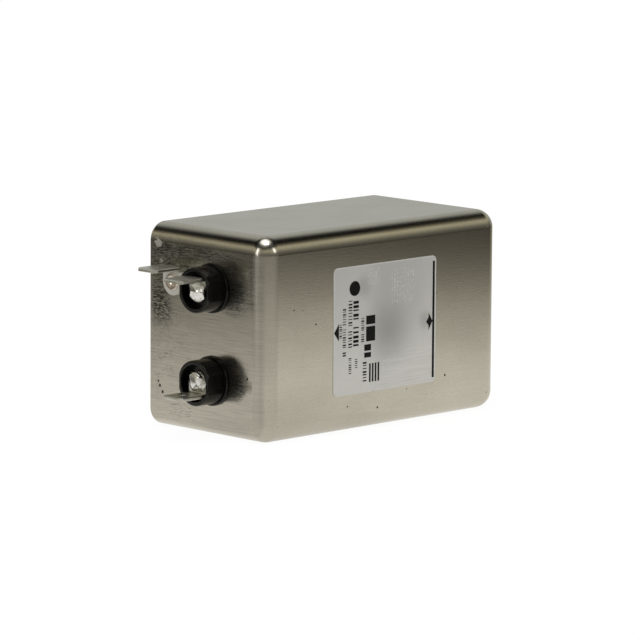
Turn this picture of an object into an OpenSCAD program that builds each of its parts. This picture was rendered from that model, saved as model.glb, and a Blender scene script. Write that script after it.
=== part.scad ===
// EMI line filter in a deep-drawn metal can, millimetres.
// The can stands on its long narrow side: X runs from the load end (-X) to the supply end (+X),
// the closed label face is -Y, the rolled-in base plate is +Y, and Z is up.

/* [Case] */
// Length of the can from end to end
case_len = 76; // [74:0.5:84]
// Depth of the can from the label face to the rolled lip
case_depth = 38.4; // [37.6:0.2:44]
// Height of the can as it stands
case_h = 47; // [46:0.5:54]
// Sheet thickness of the can
wall = 0.6; // [0.5:0.05:0.7]
// Outer radius of the drawn edges and ball corners
edge_r = 4.2; // [3.8:0.1:5]
// Width of the rolled lip that holds the base plate
lip_w = 2.2; // [2:0.1:2.6]
// Outer radius where the lip is rolled over
lip_r = 0.9; // [0.8:0.05:1.1]

/* [Base plate] */
// Sheet thickness of the base plate
base_t = 0.8; // [0.6:0.05:1]
// Height of the raised mounting field beyond the lip
pad_proud = 0.3; // [0.2:0.05:0.6]
// Distance between the two threaded inserts
insert_pitch = 50; // [40:0.5:54]
// Radius of the threaded bore, at its minor diameter
insert_r = 1.65; // [1.2:0.05:2]
// Outside radius of the insert body
insert_body_r = 4; // [3.4:0.1:4.4]
// Height of the insert body inside the plate
insert_body_h = 2.5; // [2:0.1:3]

/* [Label] */
// Length of the label along the can
label_len = 33.2; // [24:0.2:50]
// Height of the label
label_h = 29.5; // [20:0.5:34]
// Radius of the label corners
label_r = 1.2; // [0.6:0.1:2]
// Thickness of the label
label_t = 0.12; // [0.08:0.01:0.2]

/* [Terminals] */
// Distance between the line and the neutral terminal
term_pitch = 21.2; // [19:0.2:23]
// Offset of the terminals from the middle of the depth, towards the label
term_shift = 2; // [1:0.1:3]
// Radius of the bushing barrel
barrel_r = 5.2; // [5:0.05:5.6]
// Half width of the barrel across its two flats
barrel_flat = 4.7; // [4.55:0.05:5]
// Length of the bushing from the can to the rim
barrel_len = 5.8; // [5.2:0.1:7]
// Radius of the shoulder against the can
shoulder_r = 5.7; // [5.6:0.05:6.4]
// Thickness of the shoulder
shoulder_t = 0.8; // [0.6:0.1:1.2]
// Radius of the open recess
recess_r = 4.3; // [4.2:0.05:4.4]
// Depth of the open recess
recess_depth = 2; // [1.6:0.1:2.6]
// Rounding of the rim edges
rim_round = 0.35; // [0.15:0.05:0.4]

/* [Tabs] */
// Width of the blades
blade_w = 6.35; // [6.2:0.05:6.4]
// Thickness of the tab strip
tab_t = 0.8; // [0.5:0.05:0.85]
// Width of the foot in the recess
foot_w = 5.5; // [4.8:0.1:5.6]
// Height of the outer blade face from the terminal axis
blade_off = 3.1; // [2.9:0.05:3.2]
// Bevel along the blade edges
blade_bevel = 0.2; // [0.1:0.05:0.2]
// Length of the bevel at the blade tip
tip_bevel = 0.6; // [0.4:0.1:1]
// Reach of the blade tip from the can
blade_reach = 13; // [11.5:0.1:14]
// Distance of the detent hole from the tip
detent_off = 4.1; // [3.6:0.1:4.6]
// Radius of the detent hole
detent_r = 0.8; // [0.6:0.05:0.95]

/* [Ground tabs] */
// Distance of the ground tab from the open side of the can
ground_inset = 8.8; // [8.4:0.1:9.4]
// Height of the outer blade face over the ground rivet
ground_off = 3.7; // [3.4:0.1:4]
// Reach of the ground blade tip from the can
ground_reach = 9.5; // [8.5:0.1:10.5]
// Width of the narrow neck between plate and blade
neck_w = 1.8; // [1.2:0.1:3]
// Radius of the rivet head
rivet_flange_r = 2.05; // [1.8:0.05:2.3]
// Depth of the dished rivet head
rivet_dish = 0.9; // [0.5:0.1:1]

/* [Choke] */
// Outside radius of the choke core
core_ro = 13; // [12:0.25:13.5]
// Inside radius of the choke core
core_ri = 7.2; // [6.8:0.1:7.6]
// Height of the choke core
core_h = 10; // [8:0.5:10.5]
// Turns in each winding
turns = 12; // [8:1:12]
// Radius of the winding wire
wire_r = 0.55; // [0.4:0.05:0.55]

/* [Board parts] */
// Thickness of the circuit board
board_t = 1.6; // [1:0.1:1.8]
// Width of the line capacitors along the can
xcap_w = 8; // [6:0.5:8.5]
// Length of the line capacitors
xcap_len = 18; // [16:0.5:19]
// Height of the line capacitors over the board
xcap_h = 14; // [10:0.5:15]
// Radius of the ground capacitor discs
ycap_r = 4; // [3:0.25:4]
// Radius of the lead wires from the board to the tabs
lead_r = 0.5; // [0.35:0.05:0.5]

/* [Hidden] */
$fn = 48;
inner_r = edge_r - wall;
liner_gap = 0.1;
liner_t = 0.4;
neck_r = 4.5;
hole_gap = 0.1;
eyelet_ri = 0.6;
eyelet_ro = 1.2;
eyelet_flange_r = 1.9;
eyelet_flange_t = 0.3;
eyelet_gap = 0.05;
bushing_rear = 5;
tab_bend = 0.3;
tip_taper = 1.3;
tip_half = 2;
blade_start = 0.2;
neck_h = 0.3;
solder_h = 1.2;
solder_gap = 0.1;
rivet_r = 1.5;
rivet_rim = 0.45;
rivet_flange_t = 0.5;
ring_t = 0.5;
ring_r = 3.4;
stack = wall + liner_gap + liner_t;
mid_z = case_h / 2;
line_z = mid_z + term_pitch / 2;
neutral_z = mid_z - term_pitch / 2;
ground_lift = 0.2;
ground_z = line_z + ground_lift;
floor_u = barrel_len - recess_depth;
foot_u = floor_u + tab_t;
base_y = case_depth / 2;
ground_shift = base_y - ground_inset;
plate_gap = 0.1;
pad_gap = 0.3;
insert_step = 1.3;
pad_y = base_y + pad_proud;
pad_w = case_len - 2 * (lip_w + pad_gap);
pad_h = case_h - 2 * (lip_w + pad_gap);
pad_r = edge_r - lip_w - pad_gap;
pad_in_y = pad_y - base_t;
board_gap = 4.7;
board_back_y = pad_in_y - board_gap;
board_y = board_back_y - board_t;
board_side = 3.5;
board_clear = 0.4;
board_w = case_len - 2 * board_side;
board_h = case_h - 2 * (stack + board_clear);
post_inset = 9;
post_off = 7.5;
post_x = case_len / 2 - post_inset;
post_z = mid_z - post_off;
post_r = 2.5;
post_pin_r = 1.45;
post_head_r = 2;
post_head_t = 1;
pin_out = 0.8;
pin_r = 0.4;
disc_pin_r = 0.3;
pin_gap = 0.1;
lead_inset = 8;
lead_bend = 1.5;
wire_in = 0.7;
lead_x = case_len / 2 - lead_inset;
lead_end_y = board_back_y + pin_out;
ground_lead_inset = 5;
ground_bend = 1.2;
ground_lead_x = case_len / 2 - ground_lead_inset;
ground_lead_off = 2.75;
wind_gap = 0.08;
fold_r = 0.85;
core_round = 0.7;
core_lift = 0.05;
core_y = board_y - 2 * wire_r - wind_gap - core_lift - core_h;
divider_gap = 0.15;
divider_t = 1.6;
xcap_inset = 15;
xcap_x = case_len / 2 - xcap_inset;
xcap_pitch = 15;
xcap_foot = 0.4;
xcap_foot_w = 1.2;
ycap_inset = 16;
ycap_x = case_len / 2 - ycap_inset;
ycap_z = 15.5;
ycap_t = 4;
ycap_pitch = 5;
ycap_lift = 0.6;
res_inset = 18.5;
res_off = 16;
res_x = -(case_len / 2 - res_inset);
res_z = mid_z + res_off;
res_r = 1.6;
res_len = 9;
res_span = 13;
res_lift = 0.05;
res_bend = 0.8;

// ---- shared shapes ----

function unit(v) = v / norm(v);

module quarter_disc(r) {
    intersection() {
        circle(r);
        square(r);
    }
}

module quarter_ring(ro, ri) {
    intersection() {
        difference() {
            circle(ro);
            circle(ri);
        }
        square(ro);
    }
}

// Rectangle centred on the origin with rounded corners
module rounded_rect(w, h, r) {
    square([w - 2 * r, h], center = true);
    for (s = [-1, 1])
        translate([s * (w - r) / 2, 0])
            square([r, h - 2 * r], center = true);
    for (i = [0:3])
        translate([(i == 0 || i == 3 ? 1 : -1) * (w / 2 - r), (i < 2 ? 1 : -1) * (h / 2 - r)])
            rotate(90 * i)
                quarter_disc(r);
}

// Straight rod between two points
module rod(a, b, r) {
    d = b - a;
    translate(a)
        rotate([0, acos(d[2] / norm(d)), atan2(d[1], d[0])])
            cylinder(h = norm(d), r = r);
}

// Elbow of a wire at p1, between its neighbours p0 and p2
module elbow(p0, p1, p2, r, bend) {
    a = unit(p0 - p1);
    b = unit(p2 - p1);
    half = acos(a * b) / 2;
    c = p1 + unit(a + b) * bend / sin(half);
    ex = unit(p1 + a * bend / tan(half) - c);
    ey = -a;
    ez = cross(ex, ey);
    multmatrix([[ex[0], ey[0], ez[0], c[0]], [ex[1], ey[1], ez[1], c[1]],
        [ex[2], ey[2], ez[2], c[2]], [0, 0, 0, 1]])
        rotate_extrude(angle = 180 - 2 * half)
            translate([bend, 0])
                circle(r, $fn = 16);
}

// Wire through three points with a square elbow at the middle one
module bent_wire(p0, p1, p2, r, bend) {
    rod(p0, p1 + unit(p0 - p1) * bend, r, $fn = 16);
    elbow(p0, p1, p2, r, bend);
    rod(p1 + unit(p2 - p1) * bend, p2, r, $fn = 16);
}

// Frame of the can: z runs from the open end to the closed face
module can_frame() {
    translate([0, base_y, mid_z])
        rotate([90, 0, 0])
            children();
}

// Frame of a terminal: z points out of the can end, x is the case depth, y is up
module end_frame(side, depth, height) {
    translate([side * case_len / 2, depth, height])
        rotate([0, 0, side > 0 ? 0 : 180])
            multmatrix([[0, 0, 1, 0], [1, 0, 0, 0], [0, 1, 0, 0], [0, 0, 0, 1]])
                children();
}

// Section of a drawn wall: straight up to the ball corner of radius r
module wall_section(r, t, len, start) {
    translate([r - t, start])
        square([t, len - r - start]);
    translate([0, len - r])
        quarter_ring(r, r - t);
}

// Section of the rolled lip at the open end
module lip_section() {
    translate([edge_r - lip_r, lip_r])
        rotate(-90)
            quarter_ring(lip_r, lip_r - wall);
    translate([edge_r - lip_w, 0])
        square([lip_w - lip_r, wall]);
}

// Runs a wall section round a rounded rectangle; no shape is doubled where two runs meet
module wall_run(w, h, r) {
    for (i = [0:3]) {
        along = i % 2 == 0 ? h - 2 * r : w - 2 * r;
        out = i % 2 == 0 ? w / 2 - r : h / 2 - r;
        rotate(90 * i)
            translate([out, along / 2, 0])
                rotate([90, 0, 0])
                    linear_extrude(along)
                        children();
        translate([(i == 0 || i == 3 ? 1 : -1) * (w / 2 - r), (i < 2 ? 1 : -1) * (h / 2 - r), 0])
            rotate(90 * i)
                rotate_extrude(angle = 90)
                    children();
    }
}

module drawn_floor(w, h, r, t, len) {
    translate([-(w / 2 - r), -(h / 2 - r), len - t])
        cube([w - 2 * r, h - 2 * r, t]);
}

// ---- case ----

module case_can() {
    color("#a7a39a")
        difference() {
            can_frame() {
                wall_run(case_len, case_h, edge_r) {
                    union() {
                        wall_section(edge_r, wall, case_depth, lip_r);
                        lip_section();
                    }
                }
                drawn_floor(case_len, case_h, edge_r, wall, case_depth);
            }
            for (side = [-1, 1]) {
                for (z = [line_z, neutral_z])
                    end_frame(side, -term_shift, z)
                        translate([0, 0, -wall - 1])
                            cylinder(h = wall + 2, r = neck_r + hole_gap);
                end_frame(side, ground_shift, ground_z)
                    translate([0, 0, -wall - 1])
                        cylinder(h = wall + 2, r = rivet_r + eyelet_gap);
            }
        }
}

module base_plate() {
    flange_w = case_len - 2 * (wall + plate_gap);
    flange_h = case_h - 2 * (wall + plate_gap);
    // The rim steps in past the round inside the lip
    ease = lip_r - wall;
    color("#9c998f")
        can_frame()
            difference() {
                union() {
                    translate([0, 0, wall + ease])
                        linear_extrude(base_t - ease)
                            rounded_rect(flange_w, flange_h, inner_r - plate_gap);
                    translate([0, 0, wall])
                        linear_extrude(ease)
                            rounded_rect(flange_w - 2 * ease, flange_h - 2 * ease, inner_r - plate_gap - ease);
                    translate([0, 0, -pad_proud])
                        linear_extrude(pad_proud + wall)
                            rounded_rect(pad_w, pad_h, pad_r);
                }
                translate([0, 0, base_t - pad_proud])
                    linear_extrude(wall + pad_proud + 1)
                        rounded_rect(pad_w - 2 * base_t, pad_h - 2 * base_t, pad_r - base_t);
                for (s = [-1, 1])
                    translate([s * insert_pitch / 2, 0, -pad_proud - 1])
                        cylinder(h = base_t + 2, r = insert_body_r - insert_step);
            }
}

module threaded_inserts() {
    color("#b9b4a6")
        can_frame()
            for (s = [-1, 1])
                translate([s * insert_pitch / 2, 0, -pad_proud])
                    difference() {
                        union() {
                            cylinder(h = base_t, r = insert_body_r - insert_step);
                            translate([0, 0, base_t])
                                cylinder(h = insert_body_h, r = insert_body_r);
                        }
                        translate([0, 0, -1])
                            cylinder(h = base_t + insert_body_h + 2, r = insert_r);
                    }
}

module rating_label() {
    color("#cfcfca")
        can_frame()
            translate([0, 0, case_depth])
                linear_extrude(label_t)
                    rounded_rect(label_len, label_h, label_r);
}

// ---- terminals ----

// Barrel rim and recess mouth rounded by short steps
function rim_arc(cx, cy, from, to) =
    [for (k = [0:3]) let (a = from + (to - from) * k / 3)
        [cx + rim_round * cos(a), cy + rim_round * sin(a)]];

module bushing() {
    top = barrel_len - rim_round;
    bore_r = eyelet_ro + eyelet_gap;
    outline = concat(
        [[bore_r, -bushing_rear], [neck_r - 0.5, -bushing_rear], [neck_r + 0.4, -bushing_rear + 1.4],
            [neck_r + 0.4, -stack - 0.05], [neck_r, -stack - 0.05], [neck_r, 0],
            [shoulder_r, 0], [shoulder_r, shoulder_t - 0.2], [shoulder_r - 0.2, shoulder_t],
            [barrel_r, shoulder_t]],
        rim_arc(barrel_r - rim_round, top, 0, 90),
        [[recess_r + 0.12, barrel_len], [recess_r, barrel_len - 0.12], [recess_r, floor_u],
            [bore_r, floor_u]]);
    difference() {
        rotate_extrude()
            polygon(outline);
        for (s = [-1, 1])
            translate([s * (barrel_flat + 2) - 2, -8, shoulder_t])
                cube([4, 16, barrel_len]);
    }
}

module bushing_at(side, z) {
    color("#1b1a19")
        end_frame(side, -term_shift, z)
            bushing();
}

// Blade outline with its root at y = start and its tip at y = reach
module blade_outline(root_w, start, full, reach) {
    difference() {
        polygon([[-root_w / 2, start], [root_w / 2, start], [root_w / 2, full], [blade_w / 2, full],
            [blade_w / 2, reach - tip_taper], [tip_half, reach], [-tip_half, reach],
            [-blade_w / 2, reach - tip_taper], [-blade_w / 2, full], [-root_w / 2, full]]);
        translate([0, reach - detent_off])
            circle(detent_r);
    }
}

// Bent strip: bend of width w between an upright plate at z = plate_u and a blade at y = off
module tab_bend_and_blade(w, plate_u, off, full, reach) {
    bend_o = tab_bend + tab_t;
    translate([-w / 2, off - bend_o, plate_u + tab_bend])
        rotate([0, 90, 0])
            linear_extrude(w)
                quarter_ring(bend_o, tab_bend);
    start = plate_u + tab_bend;
    under = off - tab_t;
    half = blade_w / 2;
    intersection() {
        translate([0, off, 0])
            rotate([90, 0, 0])
                linear_extrude(tab_t)
                    blade_outline(w, start, full, reach);
        translate([0, 0, start - 1])
            linear_extrude(reach + 1)
                polygon([[blade_bevel - half, under], [half - blade_bevel, under], [half, under + blade_bevel],
                    [half, off - blade_bevel], [half - blade_bevel, off], [blade_bevel - half, off],
                    [-half, off - blade_bevel], [-half, under + blade_bevel]]);
        translate([-blade_w, 0, 0])
            rotate([90, 0, 90])
                linear_extrude(2 * blade_w)
                    polygon([[under, start - 1], [off, start - 1], [off, reach - tip_bevel],
                        [off - blade_bevel, reach], [under + blade_bevel, reach],
                        [under, reach - tip_bevel]]);
    }
}

module terminal_tab() {
    bend_o = tab_bend + tab_t;
    top = blade_off - bend_o;
    difference() {
        union() {
            translate([0, 0, floor_u])
                linear_extrude(tab_t) {
                    translate([-foot_w / 2, 0])
                        square([foot_w, top]);
                    rotate(180)
                        quarter_disc(foot_w / 2);
                    rotate(270)
                        quarter_disc(foot_w / 2);
                }
            tab_bend_and_blade(foot_w, foot_u, blade_off, barrel_len + blade_start, blade_reach);
        }
        translate([0, 0, floor_u - 1])
            cylinder(h = tab_t + 2, r = eyelet_ro + eyelet_gap);
    }
}

module tab_at(side, z, up) {
    color("#c9c5b8")
        end_frame(side, -term_shift, z)
            mirror([0, up > 0 ? 0 : 1, 0])
                terminal_tab();
}

// Solder dome over the eyelet flange and the wire end
module solder_dome() {
    dome_r = blade_off - tab_t - solder_gap;
    difference() {
        rotate_extrude()
            polygon(concat([[0, foot_u]],
                [for (k = [0:6]) [dome_r * cos(15 * k), foot_u + solder_h * sin(15 * k)]]));
        translate([0, 0, foot_u - 1])
            cylinder(h = eyelet_flange_t + 1.02, r = eyelet_flange_r + 0.02);
        translate([0, 0, foot_u])
            cylinder(h = wire_in + 0.02, r = lead_r + 0.02);
    }
}

module solder_at(side, z) {
    color("#d9d7cf")
        end_frame(side, -term_shift, z)
            solder_dome();
}

module terminal_eyelets() {
    rear = -bushing_rear - eyelet_flange_t;
    color("#b8b3a4")
        for (side = [-1, 1], z = [line_z, neutral_z])
            end_frame(side, -term_shift, z)
                difference() {
                    union() {
                        translate([0, 0, rear])
                            cylinder(h = eyelet_flange_t, r = eyelet_flange_r);
                        translate([0, 0, -bushing_rear])
                            cylinder(h = bushing_rear + foot_u, r = eyelet_ro);
                        translate([0, 0, foot_u])
                            cylinder(h = eyelet_flange_t, r = eyelet_flange_r);
                    }
                    translate([0, 0, rear - 1])
                        cylinder(h = foot_u - rear + 3, r = eyelet_ri);
                }
}

// ---- ground tabs ----

module ground_tab() {
    bend_o = tab_bend + tab_t;
    plate_top = ground_off - bend_o - neck_h;
    difference() {
        union() {
            linear_extrude(tab_t) {
                translate([-blade_w / 2, 0])
                    square([blade_w, plate_top]);
                translate([-neck_w / 2, plate_top])
                    square([neck_w, neck_h]);
                rotate(180)
                    quarter_disc(blade_w / 2);
                rotate(270)
                    quarter_disc(blade_w / 2);
            }
            tab_bend_and_blade(neck_w, tab_t, ground_off, bend_o + neck_h, ground_reach);
        }
        translate([0, 0, -1])
            cylinder(h = tab_t + 2, r = rivet_r + eyelet_gap);
    }
}

module ground_tab_at(side) {
    color("#c9c5b8")
        end_frame(side, ground_shift, ground_z)
            ground_tab();
}

// Solid rivet with a dished head over the tab and a flat one over the ring
module ground_rivets() {
    inside = wall + ring_t;
    top = tab_t + rivet_flange_t;
    dish_r = rivet_flange_r - rivet_rim;
    color("#bdb8aa")
        for (side = [-1, 1])
            end_frame(side, ground_shift, ground_z)
                rotate_extrude()
                    polygon(concat(
                        [[0, -inside - rivet_flange_t], [rivet_flange_r, -inside - rivet_flange_t],
                            [rivet_flange_r, -inside], [rivet_r, -inside], [rivet_r, tab_t],
                            [rivet_flange_r, tab_t], [rivet_flange_r, tab_t + 0.4 * rivet_flange_t],
                            [rivet_flange_r - 0.5 * rivet_rim, top]],
                        [for (k = [0:6]) [dish_r * cos(15 * k), top - rivet_dish * sin(15 * k)]]));
}

// ---- inside ----

module liner() {
    w = case_len - 2 * (wall + liner_gap);
    h = case_h - 2 * (wall + liner_gap);
    r = inner_r - liner_gap;
    start = wall + base_t;
    color("#d8d2bd")
        difference() {
            can_frame() {
                wall_run(w, h, r)
                    wall_section(r, liner_t, case_depth - wall, start);
                drawn_floor(w, h, r, liner_t, case_depth - wall);
            }
            for (side = [-1, 1]) {
                for (z = [line_z, neutral_z])
                    end_frame(side, -term_shift, z)
                        translate([0, 0, -stack - 1])
                            cylinder(h = liner_t + 1.5, r = neck_r + hole_gap + 0.1);
                end_frame(side, ground_shift, ground_z)
                    translate([0, 0, -stack - 1])
                        cylinder(h = liner_t + 1.5, r = ring_r + 0.3);
            }
        }
}

// Hole through the board for a wire
module board_hole(x, z, r) {
    translate([x, board_y - 1, z])
        rotate([-90, 0, 0])
            cylinder(h = board_t + 2, r = r);
}

module circuit_board() {
    color("#9a7b3f")
        difference() {
            translate([-board_w / 2, board_y, mid_z - board_h / 2])
                cube([board_w, board_t, board_h]);
            for (sx = [-1, 1]) {
                for (sz = [-1, 1]) {
                    board_hole(sx * post_x, mid_z + sz * post_z, post_pin_r + 0.05);
                    board_hole(sx * lead_x, mid_z + sz * term_pitch / 2, lead_r + pin_gap);
                    board_hole(sx * xcap_x, mid_z + sz * xcap_pitch / 2, pin_r + pin_gap);
                    board_hole(ycap_x + sx * ycap_pitch / 2, mid_z + sz * ycap_z, disc_pin_r + pin_gap);
                    board_hole(sx * tail_x, mid_z + sz * tail_z, wire_r + pin_gap);
                }
                board_hole(sx * ground_lead_x, ground_z, lead_r + pin_gap);
                board_hole(res_x + sx * res_span / 2, res_z, disc_pin_r + pin_gap);
            }
        }
}

module board_spacers() {
    color("#e6e3da")
        for (sx = [-1, 1], sz = [-1, 1])
            translate([sx * post_x, board_y - post_head_t, mid_z + sz * post_z])
                rotate([-90, 0, 0]) {
                    cylinder(h = post_head_t, r = post_head_r);
                    cylinder(h = board_t + post_head_t, r = post_pin_r);
                    translate([0, 0, board_t + post_head_t])
                        cylinder(h = board_gap, r = post_r);
                }
}

module choke_core() {
    color("#3c4a44")
        translate([0, core_y + core_h / 2, mid_z])
            rotate([-90, 0, 0])
                rotate_extrude()
                    translate([(core_ro + core_ri) / 2, 0])
                        rounded_rect(core_ro - core_ri, core_h, core_round);
}

module choke_divider() {
    color("#e8e4d8")
        translate([divider_gap - core_ri, core_y, mid_z - divider_t / 2])
            cube([2 * (core_ri - divider_gap), board_y - core_y, divider_t]);
}

// Path of one turn: a rounded rectangle round the core section, as [radius, height, normal angle]
loop_hw = (core_ro - core_ri) / 2 + wire_r + wind_gap;
loop_hh = core_h / 2 + wire_r + wind_gap;
loop_r = wire_r + wind_gap + core_round;
loop_flat_w = 2 * (loop_hw - loop_r);
loop_flat_h = 2 * (loop_hh - loop_r);
loop_arc = loop_r * PI / 2;
loop_len = 2 * loop_flat_w + 2 * loop_flat_h + 4 * loop_arc;
tail_r = (core_ro + core_ri) / 2 + loop_hw;
wind_from = 15;
wind_to = 165;
// The last turn rises outside the core, folds over and goes down to the board
fold_turn = fold_r / tail_r * 180 / PI;
wind_last = wind_to - 2 * fold_turn;
steps = 16;
last = turns * steps - 1;

// Station s of the winding: corner c (0 top outside, 1 top inside, 2 low inside, 3 low outside)
function corner_of(s) = floor((s % steps) / 4);
function dir_of(s) = 90 * corner_of(s) + 30 * (s % 4);
function run_of(s) = let (c = corner_of(s))
    floor(s / steps) * loop_len + c * loop_arc + loop_arc * (s % 4) / 3
    + (c > 0 ? loop_flat_w : 0) + (c > 1 ? loop_flat_h : 0) + (c > 2 ? loop_flat_w : 0);
run_last = run_of(last);
function spin_of(s) = wind_from + (wind_last - wind_from) * run_of(s) / run_last;

// Centre of the wire at station s, in the frame of the core
function centre_of(s) =
    let (c = corner_of(s), d = dir_of(s), a = spin_of(s),
        r = (core_ro + core_ri) / 2 + (c == 0 || c == 3 ? 1 : -1) * (loop_hw - loop_r) + loop_r * cos(d),
        h = (c < 2 ? 1 : -1) * (loop_hh - loop_r) + loop_r * sin(d))
    [r * cos(a), r * sin(a), h];
function normal_of(s) = let (d = dir_of(s), a = spin_of(s)) [cos(d) * cos(a), cos(d) * sin(a), sin(d)];

tail_x = tail_r * cos(wind_from);
tail_z = tail_r * sin(wind_from);
tail_low = core_y + core_h / 2 - lead_end_y;
function fold_spin(d) = wind_last + fold_turn * (1 - cos(d));

wire_path = concat([[centre_of(0)[0], centre_of(0)[1], tail_low]],
    [for (s = [0:last]) centre_of(s)],
    [for (d = [30:30:180]) let (a = fold_spin(d))
        [tail_r * cos(a), tail_r * sin(a), loop_r - loop_hh + fold_r * sin(d)]],
    [[tail_r * cos(wind_to), tail_r * sin(wind_to), tail_low]]);
wire_normal = concat([normal_of(0)], [for (s = [0:last]) normal_of(s)],
    [for (d = [30:30:180]) let (a = fold_spin(d)) [cos(a), sin(a), 0]],
    [[cos(wind_to), sin(wind_to), 0]]);
sides = 8;

function tangent_at(i) =
    unit(wire_path[min(i + 1, len(wire_path) - 1)] - wire_path[max(i - 1, 0)]);
function ring_at(i) =
    let (t = tangent_at(i), n = unit(wire_normal[i] - (wire_normal[i] * t) * t), b = cross(t, n))
    [for (k = [0:sides - 1]) wire_path[i] + wire_r * (cos(360 * k / sides) * n + sin(360 * k / sides) * b)];

module winding() {
    count = len(wire_path);
    polyhedron(
        points = [for (i = [0:count - 1]) each ring_at(i)],
        faces = concat(
            [[for (k = [0:sides - 1]) k]],
            [for (i = [0:count - 2], k = [0:sides - 1])
                [i * sides + k, (i + 1) * sides + k, (i + 1) * sides + (k + 1) % sides]],
            [for (i = [0:count - 2], k = [0:sides - 1])
                [i * sides + k, (i + 1) * sides + (k + 1) % sides, i * sides + (k + 1) % sides]],
            [[for (k = [0:sides - 1]) (count - 1) * sides + sides - 1 - k]]));
}

module winding_at(turned) {
    color("#a3552b")
        translate([0, core_y + core_h / 2, mid_z])
            rotate([0, turned, 0])
                rotate([90, 0, 0])
                    winding();
}

module x_capacitor(x) {
    color("#d9b23a")
        translate([x, board_y, mid_z]) {
            translate([-xcap_w / 2, -xcap_foot - xcap_h, -xcap_len / 2])
                cube([xcap_w, xcap_h, xcap_len]);
            for (s = [-1, 1]) {
                translate([-xcap_w / 2, -xcap_foot, s * (xcap_len - xcap_foot_w) / 2 - xcap_foot_w / 2])
                    cube([xcap_w, xcap_foot, xcap_foot_w]);
                translate([0, -xcap_foot, s * xcap_pitch / 2])
                    rotate([-90, 0, 0])
                        cylinder(h = xcap_foot + board_t + pin_out, r = pin_r, $fn = 16);
            }
        }
}

module y_capacitor(z) {
    axis_y = board_y - ycap_r - ycap_lift;
    color("#2f6fa3")
        translate([ycap_x, axis_y, z]) {
            translate([0, 0, -ycap_t / 2])
                cylinder(h = ycap_t, r = ycap_r);
            for (s = [-1, 1])
                translate([s * ycap_pitch / 2, 0, 0])
                    rotate([-90, 0, 0])
                        cylinder(h = lead_end_y - axis_y, r = disc_pin_r, $fn = 16);
        }
}

module bleed_resistor() {
    axis_y = board_y - res_r - res_lift;
    color("#b98d5c") {
        translate([res_x - res_len / 2, axis_y, res_z])
            rotate([0, 90, 0])
                cylinder(h = res_len, r = res_r);
        for (s = [-1, 1])
            bent_wire([res_x + s * res_len / 2, axis_y, res_z],
                [res_x + s * res_span / 2, axis_y, res_z],
                [res_x + s * res_span / 2, lead_end_y, res_z], disc_pin_r, res_bend);
    }
}

module lead_at(side, z) {
    color("#c8793f")
        bent_wire([side * (case_len / 2 + foot_u + wire_in), -term_shift, z],
            [side * lead_x, -term_shift, z], [side * lead_x, lead_end_y, z], lead_r, lead_bend);
}

// Ring under the rivet flange, and the wire from it to the board
module ground_lead(side) {
    ring_in = case_len / 2 - wall - ring_t;
    wire_y = ground_shift - ground_lead_off;
    color("#6f9a3a") {
        end_frame(side, ground_shift, ground_z)
            translate([0, 0, -wall - ring_t])
                difference() {
                    cylinder(h = ring_t, r = ring_r);
                    translate([0, 0, -1])
                        cylinder(h = ring_t + 2, r = rivet_r + eyelet_gap);
                }
        bent_wire([side * ring_in, wire_y, ground_z], [side * ground_lead_x, wire_y, ground_z],
            [side * ground_lead_x, lead_end_y, ground_z], lead_r, ground_bend);
    }
}

module bushing_load_line() bushing_at(-1, line_z);
module bushing_load_neutral() bushing_at(-1, neutral_z);
module bushing_supply_line() bushing_at(1, line_z);
module bushing_supply_neutral() bushing_at(1, neutral_z);
module tab_load_line() tab_at(-1, line_z, 1);
module tab_load_neutral() tab_at(-1, neutral_z, -1);
module tab_supply_line() tab_at(1, line_z, 1);
module tab_supply_neutral() tab_at(1, neutral_z, -1);
module solder_load_line() solder_at(-1, line_z);
module solder_load_neutral() solder_at(-1, neutral_z);
module solder_supply_line() solder_at(1, line_z);
module solder_supply_neutral() solder_at(1, neutral_z);
module ground_tab_load() ground_tab_at(-1);
module ground_tab_supply() ground_tab_at(1);
module choke_winding_line() winding_at(0);
module choke_winding_neutral() winding_at(180);
module x_capacitor_supply() x_capacitor(xcap_x);
module x_capacitor_load() x_capacitor(-xcap_x);
module y_capacitor_line() y_capacitor(mid_z + ycap_z);
module y_capacitor_neutral() y_capacitor(mid_z - ycap_z);
module lead_load_line() lead_at(-1, line_z);
module lead_load_neutral() lead_at(-1, neutral_z);
module lead_supply_line() lead_at(1, line_z);
module lead_supply_neutral() lead_at(1, neutral_z);
module ground_lead_load() ground_lead(-1);
module ground_lead_supply() ground_lead(1);

case_can();
base_plate();
threaded_inserts();
rating_label();
bushing_load_line();
bushing_load_neutral();
bushing_supply_line();
bushing_supply_neutral();
tab_load_line();
tab_load_neutral();
tab_supply_line();
tab_supply_neutral();
solder_load_line();
solder_load_neutral();
solder_supply_line();
solder_supply_neutral();
terminal_eyelets();
ground_tab_load();
ground_tab_supply();
ground_rivets();
liner();
circuit_board();
board_spacers();
choke_core();
choke_divider();
choke_winding_line();
choke_winding_neutral();
x_capacitor_supply();
x_capacitor_load();
y_capacitor_line();
y_capacitor_neutral();
bleed_resistor();
lead_load_line();
lead_load_neutral();
lead_supply_line();
lead_supply_neutral();
ground_lead_load();
ground_lead_supply();
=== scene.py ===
import bpy, bmesh, math, random
from mathutils import Vector, Matrix, noise


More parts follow.
